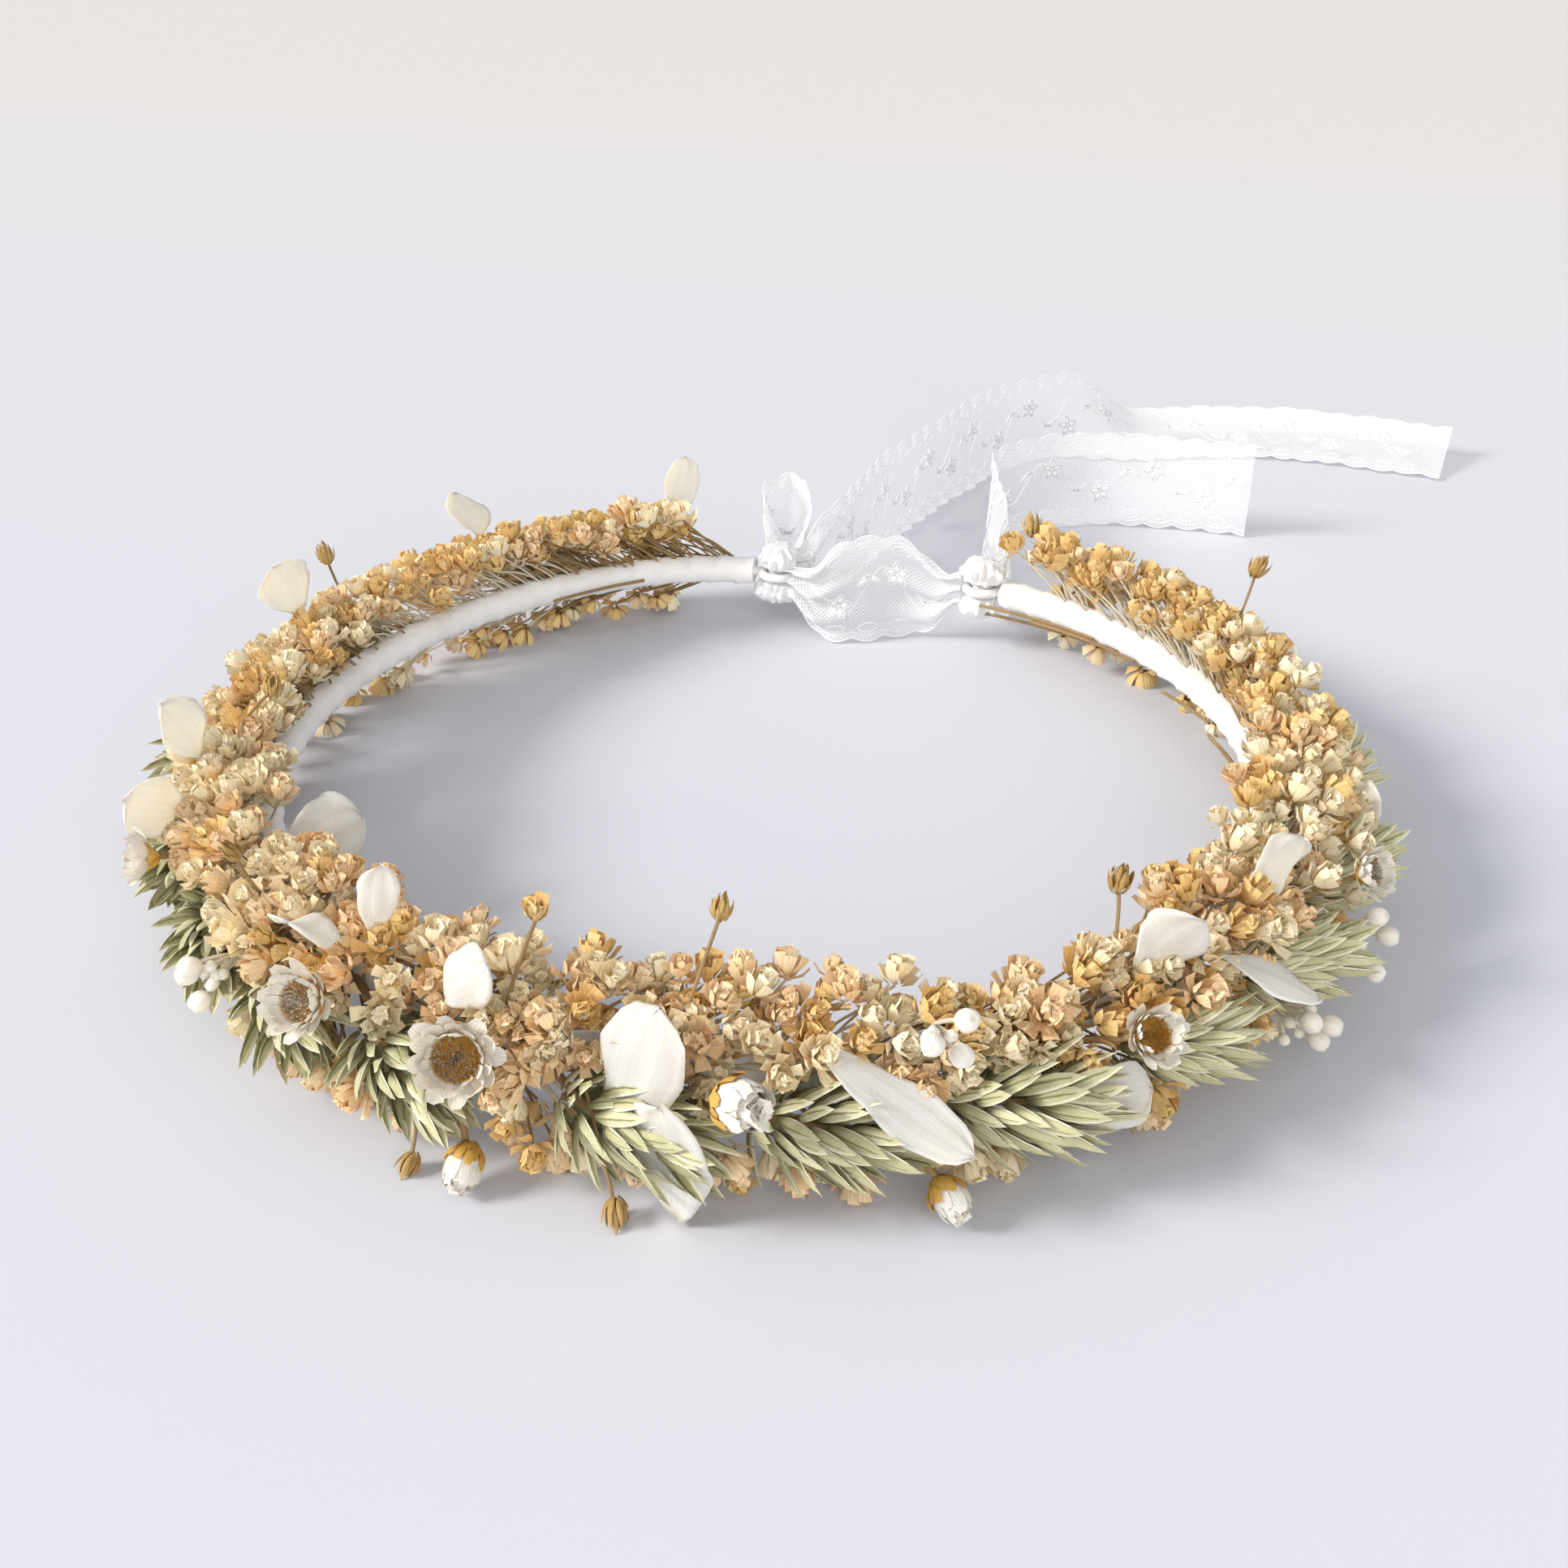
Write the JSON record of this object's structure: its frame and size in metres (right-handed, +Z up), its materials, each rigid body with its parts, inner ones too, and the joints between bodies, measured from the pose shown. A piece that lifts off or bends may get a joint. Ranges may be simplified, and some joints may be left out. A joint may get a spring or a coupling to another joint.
{
  "type": "flower crown",
  "caption": "Open wire hair crown bound in white tape, dressed outside with dried flower bouquets and tied at the back with lace ribbon.",
  "frame": {"origin": "centre of the head opening, on the surface that the crown rests on", "axes": "+Z up out of the top of the head opening, the wearer's face looks along -Y, and the gap that the ribbon ties is at +Y"},
  "size_m": [0.2412, 0.3735, 0.0386],
  "materials": {
    "wire": "satin",
    "dried_stem": "matt",
    "white_tape": "smooth satin tape",
    "canary_grass": "dry, striped bracts",
    "gypsophila": "dry, papery",
    "strawflower": "papery, slightly glossy",
    "hydrangea_petal": "thin, veined",
    "white_berry": "smooth",
    "seed_bud": "dry",
    "lace_ribbon": "sheer lace"
  },
  "bodies": {
    "left_half": {"bound_stems_left": "dried_stem", "canary_grass_left_1": "canary_grass", "canary_grass_left_2": "canary_grass", "canary_grass_left_3": "canary_grass", "canary_grass_left_4": "canary_grass", "canary_grass_left_5": "canary_grass", "canary_grass_left_6": "canary_grass", "canary_grass_left_7": "canary_grass", "gypsophila_left_1": "gypsophila", "gypsophila_left_2": "gypsophila", "gypsophila_left_3": "gypsophila", "gypsophila_left_4": "gypsophila", "gypsophila_left_5": "gypsophila", "hydrangea_petals_left_1": "hydrangea_petal", "hydrangea_petals_left_2": "hydrangea_petal", "hydrangea_petals_left_3": "hydrangea_petal", "ribbon_bridge": "lace_ribbon", "seed_buds_left": "seed_bud", "strawflower_low_left": "strawflower", "strawflower_open_left_1": "strawflower", "strawflower_open_left_2": "strawflower", "strawflower_open_left_3": "strawflower", "tape_left": "white_tape", "white_berries_left": "white_berry", "wire_left": "wire"},
    "right_half": {"bound_stems_right": "dried_stem", "canary_grass_right_1": "canary_grass", "canary_grass_right_2": "canary_grass", "canary_grass_right_3": "canary_grass", "canary_grass_right_4": "canary_grass", "canary_grass_right_5": "canary_grass", "canary_grass_right_6": "canary_grass", "canary_grass_right_7": "canary_grass", "canary_grass_right_8": "canary_grass", "gypsophila_right_1": "gypsophila", "gypsophila_right_2": "gypsophila", "gypsophila_right_3": "gypsophila", "gypsophila_right_4": "gypsophila", "gypsophila_right_5": "gypsophila", "hydrangea_petals_right_1": "hydrangea_petal", "hydrangea_petals_right_2": "hydrangea_petal", "hydrangea_petals_right_3": "hydrangea_petal", "seed_buds_right": "seed_bud", "strawflower_closed_right": "strawflower", "strawflower_low_right": "strawflower", "strawflower_open_right_1": "strawflower", "strawflower_open_right_2": "strawflower", "tape_right": "white_tape", "white_berries_right_1": "white_berry", "white_berries_right_2": "white_berry", "white_berries_right_3": "white_berry", "wire_right": "wire"},
    "left_tie": {"left_knot": "lace_ribbon", "ribbon_loop_left": "lace_ribbon", "ribbon_tail_left": "lace_ribbon", "ribbon_tail_left_end": "lace_ribbon"},
    "right_tie": {"right_knot": "lace_ribbon", "ribbon_tail_right": "lace_ribbon"}
  },
  "joints": [
    {"name": "ring_flex", "type": "hinge", "parent": "left_half", "child": "right_half", "pos_m": [0, -0.09, 0.014], "axis": [0, 0, 1], "range_deg": [-5, 3], "stiffness_Nm_per_rad": 0.2, "deforming": ["ribbon_bridge"]},
    {"name": "left_tie_swing", "type": "hinge", "parent": "left_half", "child": "left_tie", "pos_m": [-0.02329, 0.08228, 0.014], "axis": [0, 0, 1], "range_deg": [-3, 10]},
    {"name": "right_tie_swing", "type": "hinge", "parent": "right_half", "child": "right_tie", "pos_m": [0.02325, 0.08713, 0.014], "axis": [0, 0, 1], "range_deg": [-12, 3]}
  ]
}
